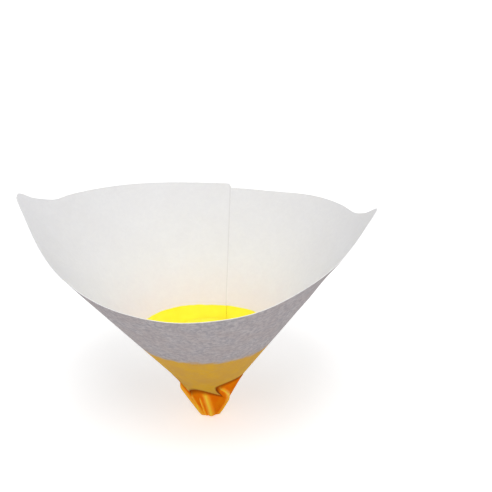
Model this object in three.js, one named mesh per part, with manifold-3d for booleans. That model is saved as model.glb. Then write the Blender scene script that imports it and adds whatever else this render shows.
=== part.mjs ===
// Disposable paint strainer: a stiff paper cone, creased at both sides and glued along a lap
// in the middle of its back, with a nylon gauze cone glued inside its cut-out lower end.
// Millimetres, +Z up, tip down. The origin is on the cone's axis, at the level where the
// cone sits in the mouth of a can. The creases lie at +X (right) and -X (left), the front
// layer faces -Y and the back layer, with the lap, faces +Y.
// A place on the paper is given as on the flat blank: an angle and a slant length from the
// point where all its straight lines meet. The angle is 0 in the middle of the front layer,
// negative towards the right crease, and runs on over the left crease round the back.
import * as THREE from 'three';
import * as BufferGeometryUtils from 'three/addons/utils/BufferGeometryUtils.js';
import Module from 'manifold-3d';

const { degToRad, clamp, lerp, smoothstep } = THREE.MathUtils;

// Opened section of the cone, measured at the seat level
const SEAT_DEPTH = 52; // seat level down to the point where the lines of the blank meet
const CREASE_REACH = 39.6; // axis to where the round front and back would meet
const FRONT_BELLY = 34.2; // axis to the middle of the front layer
const BACK_BELLY = 33.3; // axis to the middle of the back layer
const FRONT_FULLNESS = 0.012; // shoulders of the front layer rounder than an arc
const BACK_FULLNESS = 0.03;
const RIGHT_TUCK = 3.3; // how far the right crease lies inside that meeting point
const RIGHT_TUCK_SPREAD = 0.65; // angle round the axis over which it fades, radians
const LEFT_TUCK = 1.25;
const LEFT_TUCK_SPREAD = 0.245;

// Top edge of the blank
const MID_SLANT = 123.8; // slant length to the middle of the top edge
const SHOULDER_RISE = 42.1; // growth of the slant towards the creases
const SHOULDER_EASE = 24; // how much of that growth is lost again near the creases
const RIGHT_EAR_RISE = 22.5; // extra slant of the pointed ear at each crease
const LEFT_EAR_RISE = 25;
const RIGHT_EAR_ROUND = 0.6; // rounding of the ear's point, along the edge
const LEFT_EAR_ROUND = 2;
const LAP_WIDTH = 11.8; // glued overlap of the two sheet ends
const LAP_STEP = 2.3; // the outer sheet end is cut this much lower than the inner one
const LAP_STEP_REACH = 0.6; // share of the way to the right crease over which it stays lower
const LAP_CORNER = 2; // rounded top corner of the inner sheet end

// Cut-out lower end of the paper, with four windows and four pointed fingers
const FINGER_SLANT = 20; // slant length to the tips of the fingers
const FRONT_FINGER_RIGHT = degToRad(-9.5); // flat angle of the front finger tips
const FRONT_FINGER_LEFT = degToRad(35.5);
const SMALL_WINDOW_SLANT = 30.2; // to the top of the windows in the front and back layers
const SMALL_WINDOW_PEAK = 0.36; // where its top lies, as a share of the window's width
const SMALL_WINDOW_ROUNDNESS = 1.2;
const BIG_WINDOW_SLANT = 38.6; // to the top of the windows over the creases
const BIG_WINDOW_PEAK = 0.3;
const BIG_WINDOW_ROUNDNESS = 0.7;
const LEAN_SLANT = 31; // below this slant the soaked fingers lean to one side
const LEAN = degToRad(7.5); // at their tips

// The soaked end hangs narrower and deeper than the paper's straight cone
const BEND_HEIGHT = 26; // where it starts, over the meeting point
const BEND_LENGTH = 3; // stretch over which the sheets turn
const TIP_DROP = 8.6; // meeting point of the hanging lines, below the upper one
const TIP_SWEEP = -1; // and to the left of it
const TIP_TRIM = 4.5; // the gauze is closed this far before they meet
const TIP_ROUND = 0.6; // rounding of the closed end

// Sheets
const PAPER = 0.5;
const GAUZE = 0.3;
const GLUE_GAP = 0.3;
const LAP_BITE = 0.2; // how deep the inner sheet end is fused into the outer one
const GAUZE_SLANT = 50; // slant length to the upper edge of the gauze, inside the paper
const LAP_RAMP = 2.5; // the gauze slopes over the edges of the lap this gently

// Fineness of the facets
const FINE = 360; // steps of the section curve of each layer
const WINDOW_COLUMNS = 20; // facets across each window
const GAUZE_COLUMNS = 72;
const EAR_COLUMNS = 5; // more facets on each side of a crease
const EAR_TURN = degToRad(8); // flat angle that they cover
const CORNER_COLUMNS = 6; // facets of the rounded corner of the lap
const CLOSEST_TURN = degToRad(0.6);
const LAP_STEP_TURN = degToRad(0.1); // flat angle over which the top edge steps down
const LOW_ROWS = 4; // facets between the lower edge and the bend
const HIGH_ROWS = 3; // facets between the bend and the top edge

const paperMaterial = new THREE.MeshStandardMaterial({ color: 0xe6e5e8, roughness: 0.85, metalness: 0 });
const gauzeMaterial = new THREE.MeshStandardMaterial({ color: 0xdf9a1c, roughness: 0.4, metalness: 0 });

const meeting = new THREE.Vector3(0, 0, -SEAT_DEPTH);
const hangingMeeting = new THREE.Vector3(TIP_SWEEP, 0, -SEAT_DEPTH - TIP_DROP);

// Distance from the axis at the seat level, at a turn round the axis from the right crease
function sectionRadius(turn, belly, fullness) {
  const arcRadius = (CREASE_REACH ** 2 + belly ** 2) / (2 * belly);
  const arcShift = belly - arcRadius;
  const arc = arcShift * Math.sin(turn) + Math.sqrt(arcRadius ** 2 - (arcShift * Math.cos(turn)) ** 2);
  const rightTuck = RIGHT_TUCK * Math.exp(-turn / RIGHT_TUCK_SPREAD);
  const leftTuck = LEFT_TUCK * Math.exp((turn - Math.PI) / LEFT_TUCK_SPREAD);
  return (arc - rightTuck - leftTuck) * (1 + fullness * Math.sin(2 * turn) ** 2);
}

// Straight lines of the blank, all the way round from the right crease over the front layer
function makeLines() {
  const lines = [];
  for (let i = 0; i < 2 * FINE; i++) {
    const onFront = i <= FINE;
    const turn = (Math.PI * (onFront ? i : 2 * FINE - i)) / FINE;
    const r = onFront
      ? sectionRadius(turn, FRONT_BELLY, FRONT_FULLNESS)
      : sectionRadius(turn, BACK_BELLY, BACK_FULLNESS);
    const y = (onFront ? -r : r) * Math.sin(turn);
    const along = new THREE.Vector3(r * Math.cos(turn), y, SEAT_DEPTH).normalize();
    const bendSlant = BEND_HEIGHT / along.z;
    const bend = meeting.clone().addScaledVector(along, bendSlant);
    const hanging = hangingMeeting.clone().sub(bend).normalize();
    lines.push({ along, bendSlant, bend, hanging, reach: bend.distanceTo(hangingMeeting) });
  }
  return lines;
}

// Adds to each line how its upper and its hanging stretch move for each mm into the sheet
function addOffsets(lines) {
  const mitre = (a, b) => a.clone().add(b).divideScalar(1 + a.dot(b));
  const next = (i) => lines[(i + 1) % lines.length];
  const upper = lines.map((line, i) => next(i).along.clone().cross(line.along).normalize());
  const across = lines.map((line, i) => next(i).bend.clone().sub(line.bend));
  const lower = lines.map((line, i) => line.hanging.clone().cross(across[i]).normalize());
  lines.forEach((line, i) => {
    const before = (i + lines.length - 1) % lines.length;
    line.upperOffset = mitre(upper[before], upper[i]);
    line.lowerOffset = mitre(lower[before], lower[i]);
  });
}

const lines = makeLines();
addOffsets(lines);

// Flat angles of the lines, with 0 in the middle of the front layer
const flatAngles = [0];
for (let i = 1; i <= lines.length; i++) {
  flatAngles.push(flatAngles[i - 1] + lines[i - 1].along.angleTo(lines[i % lines.length].along));
}
const frontHalf = flatAngles[FINE] / 2;
const fullTurn = flatAngles[lines.length];
const backHalf = fullTurn / 2 - frontHalf;
const rightCrease = -frontHalf;
const leftCrease = frontHalf;
const backMiddle = leftCrease + backHalf;
const lapStart = backMiddle - Math.asin(LAP_WIDTH / 2 / MID_SLANT);

// The blank's line at any flat angle
function lineAt(flat) {
  const wrapped = (((flat + frontHalf) % fullTurn) + fullTurn) % fullTurn;
  let low = 0;
  let high = lines.length;
  while (high - low > 1) {
    const middle = (low + high) >> 1;
    if (flatAngles[middle] <= wrapped) low = middle;
    else high = middle;
  }
  const share = (wrapped - flatAngles[low]) / (flatAngles[high] - flatAngles[low]);
  const from = lines[low];
  const to = lines[high % lines.length];
  const between = (key) => from[key].clone().lerp(to[key], share);
  return {
    along: between('along').normalize(),
    bend: between('bend'),
    hanging: between('hanging').normalize(),
    upperOffset: between('upperOffset'),
    lowerOffset: between('lowerOffset'),
    bendSlant: lerp(from.bendSlant, to.bendSlant, share),
    reach: lerp(from.reach, to.reach, share),
  };
}

// Point of the folded sheet, at a depth inside the outer face of the paper
function sheetPoint(flat, slant, depth) {
  const line = lineAt(flat);
  const below = line.bendSlant - slant;
  const point = line.bend.clone();
  if (below > 0) point.addScaledVector(line.hanging, below);
  else point.addScaledVector(line.along, -below);
  const turned = clamp(below / BEND_LENGTH + 0.5, 0, 1);
  return point.addScaledVector(line.upperOffset.clone().lerp(line.lowerOffset, turned), depth);
}

// Slant length to the top edge, before the outer sheet end is cut lower
function topSlant(flat) {
  const t = flat < leftCrease ? flat / frontHalf : (backMiddle - flat) / backHalf;
  const earRise = t > 0 ? LEFT_EAR_RISE : RIGHT_EAR_RISE;
  const earRound = t > 0 ? LEFT_EAR_ROUND : RIGHT_EAR_ROUND;
  const half = flat < leftCrease ? frontHalf : backHalf;
  const s = 1 - Math.hypot(1 - Math.abs(t), earRound / (MID_SLANT * half));
  return MID_SLANT + SHOULDER_RISE * s ** 2 - SHOULDER_EASE * s ** 4 + earRise * Math.abs(s) ** 8;
}

// The windows in order from the front one towards the left
const backFingerLeft = backMiddle - FRONT_FINGER_LEFT;
const backFingerRight = backMiddle - FRONT_FINGER_RIGHT;
const small = { top: SMALL_WINDOW_SLANT, roundness: SMALL_WINDOW_ROUNDNESS };
const big = { top: BIG_WINDOW_SLANT, roundness: BIG_WINDOW_ROUNDNESS };
const windows = [
  { ...small, from: FRONT_FINGER_RIGHT, to: FRONT_FINGER_LEFT, peak: SMALL_WINDOW_PEAK },
  { ...big, from: FRONT_FINGER_LEFT, to: backFingerLeft, peak: BIG_WINDOW_PEAK },
  { ...small, from: backFingerLeft, to: backFingerRight, peak: 1 - SMALL_WINDOW_PEAK },
  { ...big, from: backFingerRight, to: FRONT_FINGER_RIGHT + fullTurn, peak: 1 - BIG_WINDOW_PEAK },
];

// Slant length to the lower edge of the paper inside one window
function windowSlant(window, flat) {
  const t = clamp((flat - window.from) / (window.to - window.from), 0, 1);
  const skewed = t ** (Math.log(0.5) / Math.log(window.peak));
  const rise = Math.max(Math.sin(Math.PI * skewed), 0) ** window.roundness;
  return lerp(FINGER_SLANT, window.top, rise);
}

function bottomSlant(flat) {
  const wrapped = flat < FRONT_FINGER_RIGHT ? flat + fullTurn : flat;
  return windowSlant(windows.find((window) => wrapped <= window.to), wrapped);
}

// Soaked finger tips lean towards the right of the front, and on the same way round
function leaned(flat, slant) {
  return flat - LEAN * clamp((LEAN_SLANT - slant) / (LEAN_SLANT - FINGER_SLANT), 0, 1);
}

// Slant lengths of the rows of one column, with one row at the bend
function rowSlants(bottom, bend, top) {
  const middle = Math.max(bend, lerp(bottom, top, 0.05));
  const slants = [];
  for (let k = 0; k < LOW_ROWS; k++) slants.push(lerp(bottom, middle, k / LOW_ROWS));
  for (let k = 0; k <= HIGH_ROWS; k++) slants.push(lerp(middle, top, k / HIGH_ROWS));
  return slants;
}

// Closed body between the outer and inner points of columns, each from its low to its high row
function sheetBody(columns, wraps, addMore) {
  const positions = [];
  const quad = (a, b, c, d) => [a, b, c, a, c, d].forEach((p) => positions.push(p.x, p.y, p.z));
  const last = columns[0].outer.length - 1;
  const count = wraps ? columns.length : columns.length - 1;
  for (let j = 0; j < count; j++) {
    const a = columns[j];
    const b = columns[(j + 1) % columns.length];
    for (let k = 0; k < last; k++) {
      quad(a.outer[k], a.outer[k + 1], b.outer[k + 1], b.outer[k]);
      quad(a.inner[k], b.inner[k], b.inner[k + 1], a.inner[k + 1]);
    }
    quad(a.outer[last], a.inner[last], b.inner[last], b.outer[last]);
    if (!addMore) quad(a.outer[0], b.outer[0], b.inner[0], a.inner[0]);
    if (addMore) addMore(a, b, (...points) => points.forEach((p) => positions.push(p.x, p.y, p.z)));
  }
  if (!wraps) {
    const start = columns[0];
    const end = columns[columns.length - 1];
    for (let k = 0; k < last; k++) {
      quad(start.outer[k], start.inner[k], start.inner[k + 1], start.outer[k + 1]);
      quad(end.outer[k], end.outer[k + 1], end.inner[k + 1], end.inner[k]);
    }
  }
  const soup = new THREE.BufferGeometry();
  soup.setAttribute('position', new THREE.Float32BufferAttribute(positions, 3));
  return BufferGeometryUtils.mergeVertices(soup, 1e-5);
}

const wasm = await Module();
wasm.setup();

function toSolid(geometry) {
  const vertProperties = new Float32Array(geometry.attributes.position.array);
  const triVerts = new Uint32Array(geometry.index.array);
  return new wasm.Manifold(new wasm.Mesh({ numProp: 3, vertProperties, triVerts }));
}

function toGeometry(solid) {
  const mesh = solid.getMesh();
  const geometry = new THREE.BufferGeometry();
  geometry.setAttribute('position', new THREE.Float32BufferAttribute(mesh.vertProperties, 3));
  geometry.setIndex(Array.from(mesh.triVerts));
  geometry.computeVertexNormals();
  return geometry;
}

// Flat angles of the paper's columns: close together beside the fingers and the creases
function paperFlats() {
  const creases = [leftCrease, rightCrease + fullTurn];
  const fixed = [...creases, lapStart - LAP_STEP_TURN / 2, lapStart + LAP_STEP_TURN / 2];
  const free = [];
  for (const window of windows) {
    for (let i = 0; i < WINDOW_COLUMNS; i++) {
      free.push(lerp(window.from, window.to, (1 - Math.cos((Math.PI * i) / WINDOW_COLUMNS)) / 2));
    }
  }
  for (const crease of creases) {
    for (let i = 1; i <= EAR_COLUMNS; i++) {
      const offset = (EAR_TURN * i) / EAR_COLUMNS;
      free.push(crease - offset, crease + offset);
    }
  }
  const clear = free.filter((flat) => fixed.every((other) => Math.abs(other - flat) > CLOSEST_TURN));
  return [...clear, ...fixed].sort((a, b) => a - b);
}

// Slant length to the top edge of the single wall, which is lower on the outer sheet end
function wrapTopSlant(flat) {
  const crease = rightCrease + fullTurn;
  if (flat > crease) return topSlant(flat - fullTurn);
  if (flat < lapStart) return topSlant(flat);
  return topSlant(flat) - LAP_STEP * (1 - smoothstep(flat, lerp(lapStart, crease, LAP_STEP_REACH), crease));
}

// One turn of the paper, without the doubled wall of the lap
function paperWrap() {
  const columns = paperFlats().map((flat) => {
    const slants = rowSlants(bottomSlant(flat), lineAt(flat).bendSlant, wrapTopSlant(flat));
    return {
      outer: slants.map((slant) => sheetPoint(leaned(flat, slant), slant, 0)),
      inner: slants.map((slant) => sheetPoint(leaned(flat, slant), slant, PAPER)),
    };
  });
  return toSolid(sheetBody(columns, true));
}

// The inner sheet end, glued over the outer one along the middle of the back
function paperLap() {
  const half = LAP_WIDTH / 2;
  const corner = half - LAP_CORNER;
  const places = [-half, -half / 2, 0, half / 2, corner];
  for (let i = 1; i <= CORNER_COLUMNS; i++) {
    places.push(corner + LAP_CORNER * Math.sin((Math.PI * i) / (2 * CORNER_COLUMNS)));
  }
  const flatAt = (x, slant) => backMiddle + Math.asin(x / slant);
  const columns = places.map((x) => {
    const pastCorner = Math.max(x - corner, 0);
    const rounding = LAP_CORNER - Math.sqrt(Math.max(LAP_CORNER ** 2 - pastCorner ** 2, 0));
    const top = topSlant(flatAt(x, MID_SLANT)) - rounding;
    let bottom = SMALL_WINDOW_SLANT;
    for (let i = 0; i < 8; i++) bottom = bottomSlant(flatAt(x, bottom));
    const slants = rowSlants(bottom, lineAt(backMiddle).bendSlant, top);
    const point = (slant, depth) => sheetPoint(leaned(flatAt(x, slant), slant), slant, depth);
    return {
      outer: slants.map((slant) => point(slant, PAPER - LAP_BITE)),
      inner: slants.map((slant) => point(slant, PAPER * 2)),
    };
  });
  return toSolid(sheetBody(columns, false));
}

function paperCone() {
  return toGeometry(paperWrap().add(paperLap()));
}

// Depth of the gauze's outer face: clear of the paper, and of the lap's doubled wall
function gauzeDepth(flat, slant) {
  const isBehind = Math.abs(flat - backMiddle) < Math.PI / 2;
  const reach = Math.max(slant, FINGER_SLANT);
  const across = isBehind ? Math.abs(Math.sin(flat - backMiddle) * reach) : Infinity;
  const offLap = smoothstep(across, LAP_WIDTH / 2 + GLUE_GAP, LAP_WIDTH / 2 + LAP_RAMP);
  return PAPER + GLUE_GAP + PAPER * (1 - offLap);
}

function meshFilter() {
  const columns = [];
  for (let i = 0; i < GAUZE_COLUMNS; i++) {
    const flat = rightCrease + (fullTurn * i) / GAUZE_COLUMNS;
    const line = lineAt(flat);
    const slants = rowSlants(line.bendSlant - line.reach + TIP_TRIM, line.bendSlant, GAUZE_SLANT);
    columns.push({
      outer: slants.map((slant) => sheetPoint(flat, slant, gauzeDepth(flat, slant))),
      inner: slants.map((slant) => sheetPoint(flat, slant, gauzeDepth(flat, slant) + GAUZE)),
    });
  }
  const centre = (key) => {
    const sum = columns.reduce((total, column) => total.add(column[key][0]), new THREE.Vector3());
    return sum.divideScalar(columns.length);
  };
  const outerEnd = centre('outer').add(new THREE.Vector3(0, 0, -TIP_ROUND));
  const innerEnd = centre('inner').add(new THREE.Vector3(0, 0, -TIP_ROUND / 2));
  return sheetBody(columns, true, (a, b, add) => {
    add(a.outer[0], b.outer[0], outerEnd);
    add(b.inner[0], a.inner[0], innerEnd);
  });
}

const strainer = new THREE.Group();

const paper = new THREE.Mesh(paperCone(), paperMaterial);
paper.name = 'paper_cone';
strainer.add(paper);

const filter = new THREE.Mesh(meshFilter(), gauzeMaterial);
filter.name = 'mesh_filter';
strainer.add(filter);

export default strainer;
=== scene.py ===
# %% [markdown]
# # A used paper cone paint strainer
# One stiff paper blank is folded at two side creases, glued along a lap at the back and popped
# open. A fine gauze cone is glued inside its cut-out lower end, and it is soaked with paint.
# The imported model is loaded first, as a fixed frame that every piece has to fit.

# %% Load the frame
from math import asin, radians

import bpy
import numpy as np
from mathutils import Matrix, Vector


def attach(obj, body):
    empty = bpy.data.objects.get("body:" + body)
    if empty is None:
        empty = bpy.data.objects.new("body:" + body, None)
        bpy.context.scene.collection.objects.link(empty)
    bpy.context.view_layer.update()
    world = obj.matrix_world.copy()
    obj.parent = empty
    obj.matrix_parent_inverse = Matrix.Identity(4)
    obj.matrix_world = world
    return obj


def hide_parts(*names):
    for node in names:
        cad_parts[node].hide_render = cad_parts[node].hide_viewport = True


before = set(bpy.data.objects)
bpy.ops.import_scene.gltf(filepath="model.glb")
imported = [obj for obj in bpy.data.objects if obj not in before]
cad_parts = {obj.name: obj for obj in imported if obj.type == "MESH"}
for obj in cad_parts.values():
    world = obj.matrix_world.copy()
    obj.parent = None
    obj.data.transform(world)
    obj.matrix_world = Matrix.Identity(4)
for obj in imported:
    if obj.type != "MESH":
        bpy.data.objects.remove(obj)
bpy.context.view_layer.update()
MM = 0.001

# %% [markdown]
# The camera stands in front of the cone, a little above it, and it rolls a few degrees, because
# the cone leans in the photograph while its own axis is upright here. Its place is worked out
# from the outline of the paper, and a long lens keeps the ears as large as they look there.

# %% Camera
CAMERA_PLACE = Vector((0.23397, -1.07507, 0.76238))
CAMERA_AIM = Vector((0.02301, 0.00450, 0.05271))
CAMERA_ROLL = radians(3.3955)
CAMERA_LENS = 182.44
CAMERA_SENSOR = 36
bpy.ops.object.camera_add(location=CAMERA_PLACE)
camera = bpy.context.object
camera.name = "camera"
camera.data.sensor_width = CAMERA_SENSOR
camera.data.lens = CAMERA_LENS
facing = (CAMERA_AIM - CAMERA_PLACE).to_track_quat("-Z", "Y").to_matrix().to_4x4()
camera.matrix_world = Matrix.Translation(CAMERA_PLACE) @ facing @ Matrix.Rotation(-CAMERA_ROLL, 4, "Z")
bpy.context.scene.camera = camera
print("camera stands", round((CAMERA_PLACE - CAMERA_AIM).length, 3), "m away")

# %% [markdown]
# ## The fold of the blank
# A place on the paper is named as on the flat blank: an angle, and the slant length from the
# point where all its straight lines meet. Paper bends but does not stretch, so each straight
# line of the blank stays straight when the cone is popped open. The eared oval section is
# described once, at the level where the cone sits in a can, and everything else follows.

# %% Section of the opened cone
SEAT_DEPTH = 52 * MM
CREASE_REACH = 39.6 * MM
FRONT_BELLY = 34.2 * MM
BACK_BELLY = 33.3 * MM
FRONT_FULLNESS = 0.012
BACK_FULLNESS = 0.03
RIGHT_TUCK = 3.3 * MM
RIGHT_TUCK_SPREAD = 0.65
LEFT_TUCK = 1.25 * MM
LEFT_TUCK_SPREAD = 0.245
BEND_HEIGHT = 26 * MM
TIP_DROP = 8.6 * MM
TIP_SWEEP = -1 * MM
FINE = 720


def section_radius(turn, belly, fullness):
    arc_radius = (CREASE_REACH**2 + belly**2) / (2 * belly)
    arc_shift = belly - arc_radius
    arc = arc_shift * np.sin(turn) + np.sqrt(arc_radius**2 - (arc_shift * np.cos(turn)) ** 2)
    tucks = RIGHT_TUCK * np.exp(-turn / RIGHT_TUCK_SPREAD)
    tucks = tucks + LEFT_TUCK * np.exp((turn - np.pi) / LEFT_TUCK_SPREAD)
    return (arc - tucks) * (1 + fullness * np.sin(2 * turn) ** 2)


def unit(vectors):
    return vectors / np.linalg.norm(vectors, axis=1)[:, None]


# %% Straight lines of the blank, once round from the right crease over the front
steps = np.arange(2 * FINE)
on_front = steps <= FINE
turns = np.pi * np.where(on_front, steps, 2 * FINE - steps) / FINE
radii = np.where(
    on_front,
    section_radius(turns, FRONT_BELLY, FRONT_FULLNESS),
    section_radius(turns, BACK_BELLY, BACK_FULLNESS),
)
seat_y = np.where(on_front, -1, 1) * radii * np.sin(turns)
along = unit(np.stack([radii * np.cos(turns), seat_y, np.full(len(turns), SEAT_DEPTH)], axis=1))
meeting = np.array([0, 0, -SEAT_DEPTH])
hanging_meeting = np.array([TIP_SWEEP, 0, -SEAT_DEPTH - TIP_DROP])
bend_slant = BEND_HEIGHT / along[:, 2]
bend = meeting + along * bend_slant[:, None]
hanging = unit(hanging_meeting - bend)
reach = np.linalg.norm(hanging_meeting - bend, axis=1)
print("lines of the blank:", len(turns))

# %% Inward direction of each line, above and below the bend


def mitre(facets):
    before = np.roll(facets, 1, axis=0)
    return (before + facets) / (1 + (before * facets).sum(axis=1))[:, None]


upper_in = mitre(unit(np.cross(np.roll(along, -1, axis=0), along)))
lower_in = mitre(unit(np.cross(hanging, np.roll(bend, -1, axis=0) - bend)))

# %% Flat angles of the lines, with 0 in the middle of the front
cosines = (along * np.roll(along, -1, axis=0)).sum(axis=1)
flat_angles = np.concatenate([[0], np.cumsum(np.arccos(np.clip(cosines, -1, 1)))])
FRONT_HALF = flat_angles[FINE] / 2
FULL_TURN = flat_angles[-1]
BACK_HALF = FULL_TURN / 2 - FRONT_HALF
BACK_MIDDLE = FRONT_HALF + BACK_HALF
print("the flat blank spans", round(float(np.degrees(FULL_TURN)), 1), "degrees")


def line_values(flat, values):
    wrapped = np.mod(flat + FRONT_HALF, FULL_TURN)
    closed = np.concatenate([values, values[:1]])
    if closed.ndim == 1:
        return np.interp(wrapped, flat_angles, closed)
    return np.stack([np.interp(wrapped, flat_angles, closed[:, i]) for i in range(3)], axis=-1)


# %% [markdown]
# The wet end of the cone hangs narrower and deeper than the stiff part. The paper turns there
# over a few millimetres, so the corner between the two straight stretches is rounded a little.

# %% A point of the folded sheet
BEND_EASE = 2.5 * MM
BEND_TURN = 3 * MM


def eased(length):
    inside = np.clip((length + BEND_EASE) / (2 * BEND_EASE), 0, 1)
    return np.where(np.abs(length) < BEND_EASE, BEND_EASE * inside**2, np.maximum(length, 0))


def sheet_point(flat, slant, depth):
    below = line_values(flat, bend_slant) - slant
    place = line_values(flat, bend)
    place = place + line_values(flat, hanging) * eased(below)[..., None]
    place = place + line_values(flat, along) * eased(-below)[..., None]
    turned = np.clip(below / BEND_TURN + 0.5, 0, 1)[..., None]
    inwards = line_values(flat, upper_in) * (1 - turned) + line_values(flat, lower_in) * turned
    return place + inwards * np.asarray(depth)[..., None]


# %% [markdown]
# ## Edges of the blank
# The top edge is nearly a circle round the meeting point, and it grows longer towards the
# creases, where it ends in two small ears. The outer sheet end is cut a little lower than the
# inner one, which shows as a step at the back. The lower edge is die-cut into four windows.

# %% Top edge
MID_SLANT = 123.8 * MM
SHOULDER_RISE = 42.1 * MM
SHOULDER_EASE = 24 * MM
RIGHT_EAR_RISE = 22.5 * MM
LEFT_EAR_RISE = 25 * MM
RIGHT_EAR_ROUND = 0.6 * MM
LEFT_EAR_ROUND = 2 * MM
LAP_HALF = 5.9 * MM
LAP_STEP = 2.3 * MM
LAP_STEP_REACH = 0.6
LAP_CORNER = 2 * MM


def smooth(value, low, high):
    t = np.clip((value - low) / (high - low), 0, 1)
    return t * t * (3 - 2 * t)


def bump(value, middle, width):
    return np.exp(-(((value - middle) / width) ** 2))


# %% Wear of the top edge, pulled and curled by one to three millimetres.
# t runs from 0 in the middle of a layer to 1 at the left crease and -1 at the right one.
def back_give(t):
    left_ear = 2.2 * smooth(t, 0.925, 0.965) - 2 * smooth(t, 0.972, 1)
    left_hollow = 1.5 * bump(t, 0.835, 0.06)
    right_sag = 1.9 * smooth(-t, 0.02, 0.36) * (1 - smooth(-t, 0.92, 1))
    right_hollow = 1.2 * bump(-t, 0.83, 0.08)
    return (left_ear - left_hollow - right_sag - right_hollow) * MM


def front_give(t):
    left_lift = 0.2 * smooth(t, 0.95, 1) + 1.3 * bump(t, 0.6, 0.1)
    right_lift = 1.8 * smooth(-t, 0.5, 0.75) + 1.6 * bump(-t, 0.965, 0.02)
    return (left_lift + right_lift * (1 - smooth(-t, 0.985, 1))) * MM


def top_slant(flat):
    flat = np.where(flat < -FRONT_HALF, flat + FULL_TURN, flat)
    in_front = flat < FRONT_HALF
    half = np.where(in_front, FRONT_HALF, BACK_HALF)
    t = np.where(in_front, flat, BACK_MIDDLE - flat) / half
    ear_rise = np.where(t > 0, LEFT_EAR_RISE, RIGHT_EAR_RISE)
    ear_round = np.where(t > 0, LEFT_EAR_ROUND, RIGHT_EAR_ROUND)
    s = 1 - np.hypot(1 - np.abs(t), ear_round / (MID_SLANT * half))
    plain = MID_SLANT + SHOULDER_RISE * s**2 - SHOULDER_EASE * s**4 + ear_rise * np.abs(s) ** 8
    return plain + np.where(in_front, front_give(t), back_give(t))


# %% Lower edge: first the flat angles of the four finger tips
FINGER_RIGHT = radians(-3.5)
FINGER_LEFT = radians(31)
BACK_FINGER_LEFT = BACK_MIDDLE - radians(35.5)
BACK_FINGER_RIGHT = BACK_MIDDLE + radians(9.5)
LOWEST_CUT = 19 * MM
# Each window: where it starts and ends, then in mm of slant the finger tips at its start and end
# and its top, then the share of its width at which the top lies, and how pointed it is
window_shapes = [
    (FINGER_RIGHT, FINGER_LEFT, 20.6, 21.6, 28.8, 0.42, 0.9),
    (FINGER_LEFT, BACK_FINGER_LEFT, 21.6, 20, 41, 0.24, 0.42),
    (BACK_FINGER_LEFT, BACK_FINGER_RIGHT, 20, 20.5, 30.2, 0.64, 1.1),
    (BACK_FINGER_RIGHT, FINGER_RIGHT + FULL_TURN, 20.5, 20.6, 37.5, 0.7, 0.5),
]


def bottom_slant(flat):
    wrapped = FINGER_RIGHT + np.mod(flat - FINGER_RIGHT, FULL_TURN)
    slant = np.full(np.shape(wrapped), LOWEST_CUT)
    for start, end, finger_start, finger_end, top, peak, pointed in window_shapes:
        t = np.clip((wrapped - start) / (end - start), 0, 1)
        rise = np.maximum(np.sin(np.pi * t ** (np.log(0.5) / np.log(peak))), 0) ** pointed
        tips = finger_start + (finger_end - finger_start) * t
        inside_window = (wrapped >= start) & (wrapped <= end)
        slant = np.where(inside_window, (tips + (top - tips) * rise) * MM, slant)
    return slant


# %% [markdown]
# The soaked fingers have gone limp and lean to one side, the front right one most of all. The
# lean sets in below a slant, grows towards the tips, and swings between more and less once
# round the cone.

# %% Lean of the wet fingers
LEAN_SLANT = 33 * MM
LEAN_REACH = 13 * MM
MOST_SHARE = 1.1
LEAN_MEAN = radians(9.3)
LEAN_SWING = radians(8)
LEAN_START = radians(12)
TIP_PULL = radians(7)
TIP_PULL_SPREAD = radians(16)


def lean_at(flat, slant):
    most = LEAN_MEAN - LEAN_SWING * np.sin(2 * np.pi * (flat - LEAN_START) / FULL_TURN)
    share = np.clip((LEAN_SLANT - slant) / LEAN_REACH, 0, MOST_SHARE)
    return most * share + TIP_PULL * bump(flat, FINGER_RIGHT, TIP_PULL_SPREAD) * share**2


def leaned(flat, slant):
    return flat - lean_at(flat, slant)


# %% [markdown]
# ## The paper
# The blank is one flat grid: its columns run along the straight lines and its rows across them.
# Each vertex is then carried to its place on the fold, just as the flat sheet is rolled up and
# glued. The grid is a little longer than one turn, so that its ends overlap at the back.
# Very small waves keep the sheet from looking like turned plastic.

# %% Columns and rows of the blank: close together beside the finger tips, the creases and the
# rounded corner of the inner end
EVEN_COLUMNS = 391
ROWS = 84
BESIDE = radians(0.25)
CLEARANCE = radians(0.4)
CORNER_TURN = radians(6)
CORNER_COLUMNS = 12
# The lap keeps its width above this slant, and narrows with the cone below it
LAP_LOW = 34 * MM
END_TURN = asin(LAP_HALF / LAP_LOW)
LOW_START = -BACK_MIDDLE - END_TURN
LOW_END = BACK_MIDDLE + END_TURN
even = np.linspace(LOW_START, LOW_END, EVEN_COLUMNS)
finger_tips = np.array([FINGER_RIGHT, FINGER_LEFT, BACK_FINGER_LEFT, BACK_FINGER_RIGHT])
finger_tips = np.concatenate([finger_tips, finger_tips - FULL_TURN])
creases = np.array([-FRONT_HALF, FRONT_HALF])
fixed = np.concatenate([finger_tips, creases])
fixed = fixed[(fixed > LOW_START) & (fixed < LOW_END)]
close = np.concatenate([fixed - BESIDE, fixed + BESIDE])
corner = LOW_END - CORNER_TURN * (1 - np.sin(np.linspace(0, np.pi / 2, CORNER_COLUMNS)))
even = even[np.abs(even[:, None] - fixed[None, :]).min(axis=1) > CLEARANCE]
even = even[even < LOW_END - CORNER_TURN]
stations = np.unique(np.concatenate([even, fixed, close, corner, [LOW_START, LOW_END]]))
COLUMNS = len(stations) - 1
print("blank:", COLUMNS, "columns,", ROWS, "rows")


# %% Flat angle of a column at a slant: the two glued ends keep parallel edges
def column_flat(station, slant):
    end_turn = np.arcsin(LAP_HALF / np.maximum(slant, LAP_LOW))
    stretch = (BACK_HALF + end_turn) / (BACK_HALF + END_TURN)
    past = np.maximum(np.abs(station) - FRONT_HALF, 0)
    return np.sign(station) * (np.minimum(np.abs(station), FRONT_HALF) + past * stretch)


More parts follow.
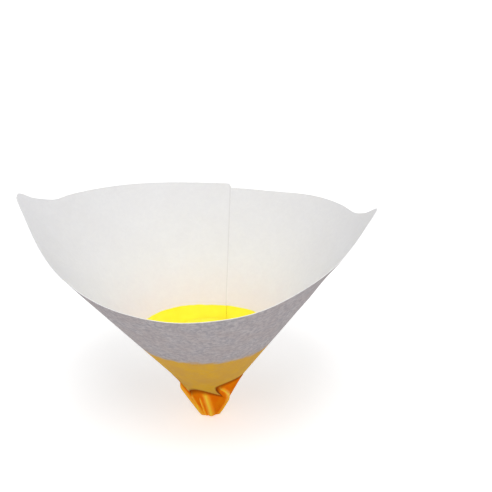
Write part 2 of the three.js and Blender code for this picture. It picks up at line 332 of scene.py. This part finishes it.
# %% The flat grid, added as a primitive
def add_grid(name, columns, rows):
    bpy.ops.object.select_all(action="DESELECT")
    bpy.ops.mesh.primitive_grid_add(x_subdivisions=columns, y_subdivisions=rows, size=1)
    piece = bpy.context.object
    piece.name = name
    places = np.zeros(len(piece.data.vertices) * 3)
    piece.data.vertices.foreach_get("co", places)
    places = places.reshape(-1, 3) + 0.5
    return piece, places[:, 0], places[:, 1]


paper, across, up = add_grid("paper_sheet", COLUMNS, ROWS)
station = stations[np.rint(across * COLUMNS).astype(int)]
print("flat blank:", len(paper.data.vertices), "vertices")

# %% Slant of every vertex, between the lower and the top edge. A column near the lap changes its
# angle with the slant, so its lower end is found by going round a few times.
ROW_BIAS = 1.25
low = np.full(len(station), 30 * MM)
for _ in range(10):
    low = bottom_slant(column_flat(station, low))
top_flat = column_flat(station, MID_SLANT)
high = top_slant(top_flat)
outer_end = np.clip((-FRONT_HALF - top_flat) / BACK_HALF, 0, 1)
high = high - LAP_STEP * smooth(outer_end, 1 - LAP_STEP_REACH, 1)
corner_across = MID_SLANT * (top_flat - BACK_MIDDLE) - (LAP_HALF - LAP_CORNER)
corner_across = np.where(top_flat > 0, np.clip(corner_across, 0, LAP_CORNER), 0)
high = high - (LAP_CORNER - np.sqrt(LAP_CORNER**2 - corner_across**2))
slant = low + (high - low) * up**ROW_BIAS
flat = column_flat(station, slant)

# %% Depth of every vertex: the inner end climbs over the outer one, and the sheet waves
PAPER = 0.32 * MM
GLUE_GAP = 0.04 * MM
LAP_CLIMB = 4.5 * MM
WAVE_DEPTH = 0.28 * MM
before_lap = (flat - BACK_MIDDLE) * np.maximum(slant, LAP_LOW) + LAP_HALF
depth = (PAPER + GLUE_GAP) * np.where(flat > 0, smooth(before_lap, -LAP_CLIMB, 0), 0)
blank_x = slant * np.sin(flat)
blank_y = slant * np.cos(flat)
broad_wave = np.sin(blank_x * 92 + 1.3) * np.sin(blank_y * 71 + 0.4)
short_wave = 0.6 * np.sin(blank_x * 151 - blank_y * 118)
wave = (broad_wave + short_wave) * np.cos(2 * np.pi * flat / FULL_TURN + 0.7)
upper_share = smooth(slant, 66 * MM, 110 * MM)
away_from_lap = smooth(BACK_MIDDLE - np.abs(flat), radians(2), radians(14))
depth = depth + WAVE_DEPTH * wave * upper_share * away_from_lap
folded = sheet_point(leaned(flat, slant), slant, depth)
paper.data.vertices.foreach_set("co", folded.ravel())
paper.data.update()
print("folded paper is", round(float(np.ptp(folded[:, 0])), 4), "m wide")


# %% [markdown]
# The flat position of each vertex is kept as its UV map, so that the weave of the gauze follows
# the sheet round the fold.

# %% Blank coordinates as the UV map, and the wall's thickness
SHARPEST_SMOOTH = radians(28)


def keep_blank_map(piece, flats, slants):
    layer = piece.data.uv_layers.get("blank") or piece.data.uv_layers.new(name="blank")
    corners = np.zeros(len(piece.data.loops), dtype=int)
    piece.data.loops.foreach_get("vertex_index", corners)
    pairs = np.stack([slants * np.sin(flats), slants * np.cos(flats)], axis=1)[corners]
    layer.data.foreach_set("uv", pairs.ravel())
    for other in [other.name for other in piece.data.uv_layers if other.name != "blank"]:
        piece.data.uv_layers.remove(piece.data.uv_layers[other])


def face_outwards(piece):
    first = piece.data.polygons[len(piece.data.polygons) // 2]
    if first.normal.dot(Vector((first.center.x, first.center.y, 0))) < 0:
        piece.data.flip_normals()


def thicken(piece, thickness):
    bpy.ops.object.select_all(action="DESELECT")
    piece.select_set(True)
    bpy.context.view_layer.objects.active = piece
    wall = piece.modifiers.new("wall", "SOLIDIFY")
    wall.thickness = thickness
    wall.offset = -1
    wall.use_even_offset = False
    wall.material_offset = 1
    wall.material_offset_rim = 2
    bpy.ops.object.modifier_apply(modifier=wall.name)
    bpy.ops.object.shade_smooth_by_angle(angle=SHARPEST_SMOOTH)
    print(piece.name, "has", len(piece.data.polygons), "faces")


keep_blank_map(paper, flat, slant)
face_outwards(paper)

# %% [markdown]
# ## The gauze
# A fine nylon weave, cut as a smaller cone and glued inside the paper. Paint has run down over
# it in thick soft ridges that meet at the tip, so the sheet follows the same fold as the paper,
# a little further in, and swells outwards where a run has set in front of a window.

# %% Gauze sheet
GAUZE_SLANT = 50 * MM
GAUZE_COLUMNS = 300
GAUZE_ROWS = 124
TIP_TRIM = 4.2 * MM
GAUZE_INSIDE = 0.8 * MM
LAP_SPARE = 0.5 * MM
gauze, around, rise = add_grid("gauze_cone", GAUZE_COLUMNS, GAUZE_ROWS)
gauze_flat = -FRONT_HALF + FULL_TURN * around
gauze_low = line_values(gauze_flat, bend_slant - reach) + TIP_TRIM
gauze_slant = gauze_low + (GAUZE_SLANT - gauze_low) * rise
# It lies further in where it passes the doubled lap
from_lap = np.abs(np.mod(gauze_flat - BACK_MIDDLE + np.pi, FULL_TURN) - np.pi)
from_lap = from_lap * np.maximum(gauze_slant, 20 * MM)
gauze_depth = GAUZE_INSIDE + LAP_SPARE * (1 - smooth(from_lap, 6.2 * MM, 8.4 * MM))
print("gauze:", len(gauze.data.vertices), "vertices")

# %% Runs of set paint: degrees of flat angle and mm of slant along each, then its half width and
# its height in mm
RUN_LEAST = 6 * MM
RUN_SPREAD = 0.75
RUN_FADE = 5 * MM
CREST_HIGHLIGHT_SHARE = 0.45
BULGE = 1.15 * MM
OPENING = (0.2 * MM, 3.6 * MM)
TIP_CALM = (-5 * MM, 4 * MM)
runs = [
    ([(43, 27.5), (40, 22), (38, 14), (36, 0)], 1.8, 2.1),
    ([(19, 28), (21, 23), (27, 12), (34, 2)], 0.7, 0.5),
    ([(8, 22), (10, 17), (12, 10), (17, 2)], 0.45, 0.75),
    ([(0, 28), (-1, 17), (-3, 9), (-5, 1)], 1.5, 0.75),
    ([(-12, 34), (-20, 29), (-32, 20), (-42, 12), (-43, 1)], 0.95, 1.3),
    ([(-58, 38), (-57, 20), (-56, 0)], 1.8, 1.0),
    ([(62, 38), (62, 20), (58, 0)], 1.9, 0.9),
    ([(84, 33), (80, 15), (78, 0)], 1.1, 0.8),
    ([(101, 29), (100, 12), (99, 0)], 1.2, 0.7),
    ([(-96, 29), (-95, 12), (-93, 0)], 0.9, 0.8),
    ([(-78, 36), (-76, 20), (-75, 0)], 1.3, 0.8),
]
# The fingers lean, so the angle before the lean is found by going round a few times
unleaned = gauze_flat
for _ in range(8):
    unleaned = gauze_flat + lean_at(unleaned, gauze_slant)
bottom_here = bottom_slant(unleaned)
below_edge = bottom_here - gauze_slant
in_window = smooth(below_edge, *OPENING)
swell = np.zeros(len(gauze_flat))
# A narrower profile of each run marks its crest, for a painted highlight
highlight_crest = np.zeros(len(gauze_flat))
for path, width, height in runs:
    slants = [point[1] * MM for point in path][::-1]
    centre = np.radians(np.interp(gauze_slant, slants, [point[0] for point in path][::-1]))
    sideways = np.mod(gauze_flat - centre + FULL_TURN / 2, FULL_TURN) - FULL_TURN / 2
    sideways = sideways * (RUN_LEAST + RUN_SPREAD * np.maximum(gauze_slant, 0))
    fade = 1 - smooth(gauze_slant, slants[-1] - RUN_FADE, slants[-1])
    swell = np.maximum(swell, height * MM * bump(sideways, 0, width * MM) * fade)
    highlight_crest = np.maximum(highlight_crest, bump(sideways, 0, CREST_HIGHLIGHT_SHARE * width * MM) * fade)
above_tip = smooth(gauze_slant, *TIP_CALM)
gauze_depth = gauze_depth - in_window * (swell * above_tip + BULGE)
gauze_points = sheet_point(gauze_flat, gauze_slant, gauze_depth)
gauze.data.vertices.foreach_set("co", gauze_points.ravel())
keep_blank_map(gauze, gauze_flat, gauze_slant)
face_outwards(gauze)

# %% [markdown]
# The long edges of the grid meet in a seam, which is merged. The lowest rows are drawn together
# over a small dome, so that the tip ends in a rounded bead of set paint.

# %% Seam and tip
CAP_ROWS = 12
TIP_ROUND = 2.4 * MM
row = np.rint(rise * GAUZE_ROWS).astype(int)
ring = gauze_points[row == CAP_ROWS]
ring_around = around[row == CAP_ROWS]
ring = ring[np.argsort(ring_around)]
ring_around = np.sort(ring_around)
tip_centre = ring[:-1].mean(axis=0)
in_cap = row < CAP_ROWS
ring_here = [np.interp(around[in_cap], ring_around, ring[:, axis]) for axis in range(3)]
ring_here = np.stack(ring_here, axis=1)
cap_angle = np.pi / 2 * row[in_cap] / CAP_ROWS
gauze_points[in_cap] = tip_centre + (ring_here - tip_centre) * np.sin(cap_angle)[:, None]
gauze_points[in_cap] -= np.array([0, 0, TIP_ROUND]) * np.cos(cap_angle)[:, None]
gauze.data.vertices.foreach_set("co", gauze_points.ravel())
gauze.data.update()
print("tip reaches z", round(float(gauze_points[:, 2].min() * 1000), 2), "mm")


# %% [markdown]
# Three facts about each place on the gauze are kept as attributes, because its colour needs them:
# how thick the run of paint is there, how near its crest, where a painted highlight goes, and how
# close below a cut edge of the paper, where a painted shade goes.

# %% Attributes for the colour, and the merged seam
def keep_value(piece, name, values):
    layer = piece.data.attributes.new(name, "FLOAT", "POINT")
    layer.data.foreach_set("value", values)


FULL_RUN = 0.8 * MM
# How far below the paper's cut edges the painted shade on the gauze reaches
EDGE_SHADE_SPAN = (0.8 * MM, 4.6 * MM)
keep_value(gauze, "run", np.clip(swell / FULL_RUN, 0, 1) * in_window)
# Mask of the painted highlight along the crest of each run
keep_value(gauze, "highlight_crest", highlight_crest * in_window)
# Painted shade mask: near 1 just below a cut edge of the paper
keep_value(gauze, "edge_shade", 1 - smooth(below_edge, *EDGE_SHADE_SPAN))
bpy.ops.object.select_all(action="DESELECT")
gauze.select_set(True)
bpy.context.view_layer.objects.active = gauze
bpy.ops.object.mode_set(mode="EDIT")
bpy.ops.mesh.select_all(action="SELECT")
bpy.ops.mesh.remove_doubles(threshold=0.005 * MM)
bpy.ops.object.mode_set(mode="OBJECT")
keep_value(paper, "from_cut", np.clip(slant - low, 0, 1))
inner_end = column_flat(np.full(len(slant), LOW_END), slant)
keep_value(paper, "from_end", np.clip((inner_end - flat) * slant, 0, 1))

# %% [markdown]
# ## Shared effects
# The fibres of the paper, the level up to which the paint has stood, and the weave of the gauze
# are node groups. They give out only values that change over the surface, and each material
# decides what to do with them.


# %% Helpers for node groups
def start_group(name, inputs, outputs):
    group = bpy.data.node_groups.new(name, "ShaderNodeTree")
    for label, default in inputs:
        socket = group.interface.new_socket(label, in_out="INPUT", socket_type="NodeSocketFloat")
        socket.default_value = default
    for label in outputs:
        group.interface.new_socket(label, in_out="OUTPUT", socket_type="NodeSocketFloat")
    entry = group.nodes.new("NodeGroupInput")
    leave = group.nodes.new("NodeGroupOutput")
    return group, entry, leave


def noise_node(tree, vector, scale, detail=4, roughness=0.55):
    node = tree.nodes.new("ShaderNodeTexNoise")
    node.inputs["Detail"].default_value = detail
    node.inputs["Roughness"].default_value = roughness
    node.inputs["Scale"].default_value = scale
    tree.links.new(vector, node.inputs["Vector"])
    return node.outputs["Fac"]


def math_node(tree, operation, first, second=0.0, third=0.0, clamp=False):
    node = tree.nodes.new("ShaderNodeMath")
    node.operation = operation
    node.use_clamp = clamp
    for socket, value in zip(node.inputs, (first, second, third)):
        if isinstance(value, (int, float)):
            socket.default_value = value
        else:
            tree.links.new(value, socket)
    return node.outputs[0]


def range_node(tree, value, low, high, start=0.0, end=1.0):
    node = tree.nodes.new("ShaderNodeMapRange")
    node.interpolation_type = "SMOOTHSTEP"
    tree.links.new(value, node.inputs["Value"])
    for label, number in (("From Min", low), ("From Max", high), ("To Min", start), ("To Max", end)):
        node.inputs[label].default_value = number
    return node.outputs["Result"]


# %% Paper fibres: soft clouds, short felted fibres and a fine tooth
fibres, entry, leave = start_group("paper_fibres", [], ["Cloud", "Fibre", "Height"])
place = fibres.nodes.new("ShaderNodeTexCoord").outputs["Object"]
stretch = fibres.nodes.new("ShaderNodeMapping")
stretch.inputs["Scale"].default_value = (0.8, 1.0, 0.9)
fibres.links.new(place, stretch.inputs["Vector"])
cloud = noise_node(fibres, place, 90, 5, 0.6)
fibre = noise_node(fibres, stretch.outputs["Vector"], 520, 6, 0.72)
tooth = noise_node(fibres, place, 2600, 3, 0.6)
fibres.links.new(cloud, leave.inputs["Cloud"])
fibres.links.new(fibre, leave.inputs["Fibre"])
height = math_node(fibres, "MULTIPLY_ADD", tooth, 0.35, fibre)
fibres.links.new(height, leave.inputs["Height"])

# %% Paint level: 1 below the plane on which the paint stood, which lay level in the leaning cone
LEVEL_UP = (-0.0021, 0.1287, 0.9917)
LEVEL_HEIGHT = 0.4 * MM
level_inputs = [("Height", LEVEL_HEIGHT), ("Blur", 1 * MM), ("Wander", 0.0)]
level, entry, leave = start_group("paint_level", level_inputs, ["Below"])
place = level.nodes.new("ShaderNodeTexCoord").outputs["Object"]
lifted = level.nodes.new("ShaderNodeVectorMath")
lifted.operation = "DOT_PRODUCT"
lifted.inputs[1].default_value = LEVEL_UP
level.links.new(place, lifted.inputs[0])
wander = math_node(level, "SUBTRACT", noise_node(level, place, 140, 3), 0.5)
wandered = math_node(level, "MULTIPLY_ADD", wander, entry.outputs["Wander"], lifted.outputs["Value"])
over = math_node(level, "SUBTRACT", wandered, entry.outputs["Height"])
share = math_node(level, "DIVIDE", over, entry.outputs["Blur"])
level.links.new(range_node(level, share, 0.5, -0.5), leave.inputs["Below"])

# %% Gauze weave: fine threads in two directions of the flat cut
weave, entry, leave = start_group("gauze_weave", [("Threads per metre", 2600)], ["Thread"])
flat_map = weave.nodes.new("ShaderNodeUVMap")
flat_map.uv_map = "blank"
apart = weave.nodes.new("ShaderNodeSeparateXYZ")
weave.links.new(flat_map.outputs["UV"], apart.inputs[0])
threads = []
for axis in ("X", "Y"):
    turn = math_node(weave, "MULTIPLY", apart.outputs[axis], entry.outputs[0])
    threads.append(math_node(weave, "PINGPONG", turn, 0.5))
thread = math_node(weave, "MAXIMUM", threads[0], threads[1])
weave.links.new(math_node(weave, "MULTIPLY", thread, 2.0), leave.inputs["Thread"])
print("node groups:", [group.name for group in bpy.data.node_groups])

# %% [markdown]
# ## Finishes
# A small set of helpers keeps the materials readable: one makes a material with its shader, one
# mixes two colours by a mask, and one joins a bump to the normal.


# %% Helpers for materials
def linear(*channels):
    parts = [channel / 255 for channel in channels]
    return tuple(part / 12.92 if part < 0.04 else ((part + 0.055) / 1.055) ** 2.4 for part in parts)


def start_material(name, roughness, coat=0.0, coat_roughness=0.1):
    material = bpy.data.materials.new(name)
    material.use_nodes = True
    tree = material.node_tree
    shader = tree.nodes["Principled BSDF"]
    shader.inputs["Roughness"].default_value = roughness
    shader.inputs["Coat Weight"].default_value = coat
    shader.inputs["Coat Roughness"].default_value = coat_roughness
    return material, tree, shader


def add_group(tree, group, **values):
    node = tree.nodes.new("ShaderNodeGroup")
    node.node_tree = group
    for label, value in values.items():
        node.inputs[label].default_value = value
    return node.outputs


def mix_colours(tree, mask, first, second):
    node = tree.nodes.new("ShaderNodeMix")
    node.data_type = "RGBA"
    for socket, value in ((node.inputs[0], mask), (node.inputs[6], first), (node.inputs[7], second)):
        if isinstance(value, tuple):
            socket.default_value = (*value, 1)
        else:
            tree.links.new(value, socket)
    return node.outputs[2]


def add_bump(tree, shader, height, distance, strength):
    node = tree.nodes.new("ShaderNodeBump")
    node.inputs["Distance"].default_value = distance
    node.inputs["Strength"].default_value = strength
    tree.links.new(height, node.inputs["Height"])
    tree.links.new(node.outputs["Normal"], shader.inputs["Normal"])


def attribute(tree, name):
    node = tree.nodes.new("ShaderNodeAttribute")
    node.attribute_name = name
    return node.outputs["Fac"]


# %% [markdown]
# The outside of the paper is unbleached and felted: its fibres show as a fine grey mottle. Below
# the level of the paint it is soaked through to ochre, darkest along the cut edges.

# %% Outside of the paper
outside, tree, shader = start_material("paper_outside", 0.85)
shader.inputs["Specular IOR Level"].default_value = 0.2
look = add_group(tree, fibres)
mottle = range_node(tree, look["Fibre"], 0.36, 0.64)
cloudy = range_node(tree, look["Cloud"], 0.3, 0.7)
dry = mix_colours(tree, mottle, linear(182, 177, 184), linear(222, 216, 217))
dry = mix_colours(tree, math_node(tree, "MULTIPLY", cloudy, 0.45), dry, linear(204, 190, 188))
soaked_low = mix_colours(tree, cloudy, linear(252, 196, 40), linear(240, 182, 70))
pale_fibres = math_node(tree, "MULTIPLY", mottle, 0.3)
soaked_low = mix_colours(tree, pale_fibres, soaked_low, linear(244, 196, 96))
soak = add_group(tree, level, Height=LEVEL_HEIGHT, Blur=3 * MM, Wander=5.5 * MM)["Below"]
colour = mix_colours(tree, soak, dry, soaked_low)
tide = add_group(tree, level, Height=LEVEL_HEIGHT + 1 * MM, Blur=4 * MM, Wander=5 * MM)["Below"]
ring_mask = math_node(tree, "SUBTRACT", tide, soak, clamp=True)
ring_mask = math_node(tree, "MULTIPLY", ring_mask, 0.35)
colour = mix_colours(tree, ring_mask, colour, linear(214, 190, 150))
edge = range_node(tree, attribute(tree, "from_cut"), 1.6 * MM, 0.0)
colour = mix_colours(tree, math_node(tree, "MULTIPLY", edge, 0.7), colour, linear(168, 88, 12))
tree.links.new(colour, shader.inputs["Base Color"])
tree.links.new(range_node(tree, soak, 0, 1, 0.9, 0.6), shader.inputs["Roughness"])
add_bump(tree, shader, look["Height"], 0.12 * MM, 0.6)

# %% [markdown]
# The inside is smooth and white. Paint stood in it and left a glossy yellow film up to its level,
# with a faint pinkish glow painted just over the line, standing in for warm light bounced from the
# paint.
# A painted shadow along the sheet's inner end draws the seam as a thin line.

# %% Inside of the paper
inside, tree, shader = start_material("paper_inside", 0.7, coat_roughness=0.12)
look = add_group(tree, fibres)
mottle = range_node(tree, look["Fibre"], 0.3, 0.7)
cloudy = range_node(tree, look["Cloud"], 0.3, 0.7)
dry = mix_colours(tree, mottle, linear(237, 237, 240), linear(241, 241, 243))
dry = mix_colours(tree, math_node(tree, "MULTIPLY", cloudy, 0.3), dry, linear(234, 233, 235))
film = add_group(tree, level, Height=LEVEL_HEIGHT, Blur=0.5 * MM, Wander=0.9 * MM)["Below"]
# A painted warm glow over the lower inside wall, for light bounced up from the yellow paint
warm_bounce = add_group(tree, level, Height=12 * MM, Blur=34 * MM, Wander=14 * MM)["Below"]
dry = mix_colours(tree, math_node(tree, "MULTIPLY", warm_bounce, 0.3), dry, linear(232, 204, 214))
# A painted shadow along the inner end of the sheet draws the seam as a thin line
seam_shadow = range_node(tree, attribute(tree, "from_end"), 0.9 * MM, 0.3 * MM)
dry = mix_colours(tree, math_node(tree, "MULTIPLY", seam_shadow, 0.35), dry, linear(206, 204, 205))
wet = mix_colours(tree, cloudy, linear(255, 240, 8), linear(255, 248, 30))
tree.links.new(mix_colours(tree, film, dry, wet), shader.inputs["Base Color"])
tree.links.new(range_node(tree, film, 0, 1, 0.72, 0.28), shader.inputs["Roughness"])
tree.links.new(math_node(tree, "MULTIPLY", film, 0.3), shader.inputs["Coat Weight"])
height = math_node(tree, "MULTIPLY", look["Height"], math_node(tree, "SUBTRACT", 1.15, film))
add_bump(tree, shader, height, 0.07 * MM, 0.5)

# %% [markdown]
# The cut edge shows the white core of the paper, and it is stained where it stands in the paint.

# %% Cut edge of the paper
cut_edge, tree, shader = start_material("paper_cut_edge", 0.8)
look = add_group(tree, fibres)
mottle = range_node(tree, look["Fibre"], 0.35, 0.65)
dry = mix_colours(tree, mottle, linear(240, 240, 241), linear(250, 250, 250))
soak = add_group(tree, level, Height=LEVEL_HEIGHT, Blur=1 * MM, Wander=2 * MM)["Below"]
stained = mix_colours(tree, mottle, linear(150, 74, 10), linear(190, 110, 24))
tree.links.new(mix_colours(tree, soak, dry, stained), shader.inputs["Base Color"])
add_bump(tree, shader, look["Height"], 0.1 * MM, 0.6)

# %% [markdown]
# The gauze drinks paint until the weave only just shows. Thick runs are a brighter amber, partly for
# the thicker paint and partly as painted highlight, with a narrow painted highlight along each crest.
# The thin film between them is deeper, with painted shade in the hollows between the runs, and
# painted shade turns it dark red-brown just below the paper's cut edges.
# A faint glow of the same colour stands in for daylight that passes through the wet weave.

# %% Gauze, outside
WET_GLOW = 0.26
soaked, tree, shader = start_material("gauze_soaked", 0.45, coat_roughness=0.08)
shader.inputs["Specular IOR Level"].default_value = 0.0
look = add_group(tree, weave)
place = tree.nodes.new("ShaderNodeTexCoord").outputs["Object"]
patches = range_node(tree, noise_node(tree, place, 210, 4), 0.36, 0.66)
thick = attribute(tree, "run")
colour = mix_colours(tree, patches, linear(255, 130, 0), linear(255, 152, 2))
# Thick runs mixed brighter: partly the thicker paint, partly painted highlight
colour = mix_colours(tree, thick, colour, linear(255, 170, 4))
# Painted highlight along the crest of each run
painted_crest_highlight = math_node(tree, "MULTIPLY", attribute(tree, "highlight_crest"), 0.85)
colour = mix_colours(tree, painted_crest_highlight, colour, linear(255, 218, 40))
# Painted shade in the hollows between the runs
valley_shade = math_node(tree, "MULTIPLY", range_node(tree, thick, 0.35, 0.02), 0.5)
colour = mix_colours(tree, valley_shade, colour, linear(210, 78, 0))
# Painted shade on the gauze just below the paper's cut edges
edge_shade = math_node(tree, "MULTIPLY", attribute(tree, "edge_shade"), 0.85)
colour = mix_colours(tree, edge_shade, colour, linear(130, 44, 0))
threads_here = math_node(tree, "MULTIPLY", look["Thread"], 0.1)
colour = mix_colours(tree, threads_here, colour, linear(250, 190, 60))
tree.links.new(colour, shader.inputs["Base Color"])
tree.links.new(colour, shader.inputs["Emission Color"])
shader.inputs["Emission Strength"].default_value = WET_GLOW
tree.links.new(math_node(tree, "MULTIPLY", thick, 0.45), shader.inputs["Coat Weight"])
thin = math_node(tree, "SUBTRACT", 1.0, math_node(tree, "MULTIPLY", thick, 0.9))
add_bump(tree, shader, math_node(tree, "MULTIPLY", look["Thread"], thin), 0.06 * MM, 0.5)

# %% Gauze, inside: filled with the same yellow film as the paper
filled, tree, shader = start_material("gauze_filled", 0.3, coat=0.6, coat_roughness=0.1)
look = add_group(tree, weave)
place = tree.nodes.new("ShaderNodeTexCoord").outputs["Object"]
patches = range_node(tree, noise_node(tree, place, 160, 4), 0.34, 0.68)
colour = mix_colours(tree, patches, linear(255, 236, 16), linear(255, 246, 44))
threads_here = math_node(tree, "MULTIPLY", look["Thread"], 0.08)
colour = mix_colours(tree, threads_here, colour, linear(246, 206, 20))
tree.links.new(colour, shader.inputs["Base Color"])
add_bump(tree, shader, look["Thread"], 0.04 * MM, 0.4)

# %% Give the pieces their finishes and walls
GAUZE = 0.3 * MM
for finish in (outside, inside, cut_edge):
    paper.data.materials.append(finish)
for finish in (soaked, filled, filled):
    gauze.data.materials.append(finish)
thicken(paper, PAPER)
thicken(gauze, GAUZE)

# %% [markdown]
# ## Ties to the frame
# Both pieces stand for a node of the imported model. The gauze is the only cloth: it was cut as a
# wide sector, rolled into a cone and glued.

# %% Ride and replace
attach(paper, "root")
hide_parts("paper_cone")
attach(gauze, "root")
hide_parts("mesh_filter")

# %% [markdown]
# ## Studio
# A plain pale floor under the tip, a wide soft lamp high in front and a weaker one overhead, so
# that the inside is bright and the outside, which leans over, stays in soft shade. The floor and
# the world look white to the camera, but they light the object much less.

# %% Floor and world
FLOOR_SIZE = 8
FLOOR_GAP = 0.5 * MM
FLOOR_GREY = 0.78
SEEN_GLOW = 0.55
REFLECTED_GLOW = 0.25
lowest = float(min(gauze_points[:, 2].min(), folded[:, 2].min()))
bpy.ops.object.select_all(action="DESELECT")
bpy.ops.mesh.primitive_plane_add(size=FLOOR_SIZE, location=(0, 0, lowest - FLOOR_GAP))
floor = bpy.context.object
floor.name = "floor"
floor_finish, tree, shader = start_material("pale_floor", 0.9)
shader.inputs["Base Color"].default_value = (FLOOR_GREY, FLOOR_GREY, FLOOR_GREY, 1)
shader.inputs["Emission Color"].default_value = (1, 1, 1, 1)
rays = tree.nodes.new("ShaderNodeLightPath")
seen = math_node(tree, "MAXIMUM", rays.outputs["Is Camera Ray"], rays.outputs["Is Transmission Ray"])
seen_glow = math_node(tree, "MULTIPLY", seen, SEEN_GLOW)
reflected_glow = math_node(tree, "MULTIPLY", rays.outputs["Is Glossy Ray"], REFLECTED_GLOW)
glow = math_node(tree, "MAXIMUM", seen_glow, reflected_glow)
tree.links.new(glow, shader.inputs["Emission Strength"])
floor.data.materials.append(floor_finish)

world = bpy.context.scene.world or bpy.data.worlds.new("studio")
bpy.context.scene.world = world
world.use_nodes = True
tree = world.node_tree
background = tree.nodes["Background"]
background.inputs["Color"].default_value = (1, 1, 1, 1)
WORLD_LIGHT = 0.36
rays = tree.nodes.new("ShaderNodeLightPath")
seen = math_node(tree, "MAXIMUM", rays.outputs["Is Camera Ray"], rays.outputs["Is Glossy Ray"])
seen = math_node(tree, "MAXIMUM", seen, rays.outputs["Is Transmission Ray"])
strength = math_node(tree, "MULTIPLY_ADD", seen, 1 - WORLD_LIGHT, WORLD_LIGHT)
tree.links.new(strength, background.inputs["Strength"])


# %% Lamps: a name, a place, a width in metres and a power in watts
LAMP_AIM = Vector((0, 0, 0.02))


def add_lamp(name, place, size, power):
    bpy.ops.object.light_add(type="AREA", location=place)
    lamp = bpy.context.object
    lamp.name = name
    lamp.data.shape = "DISK"
    lamp.data.size = size
    lamp.data.energy = power
    lamp.rotation_euler = (LAMP_AIM - Vector(place)).to_track_quat("-Z", "Y").to_euler()


add_lamp("key_lamp", (0.12, -0.62, 1.45), 0.9, 11.8)
add_lamp("top_lamp", (0.1, 0.1, 1.5), 0.9, 4)
bpy.context.scene.view_settings.view_transform = "Standard"
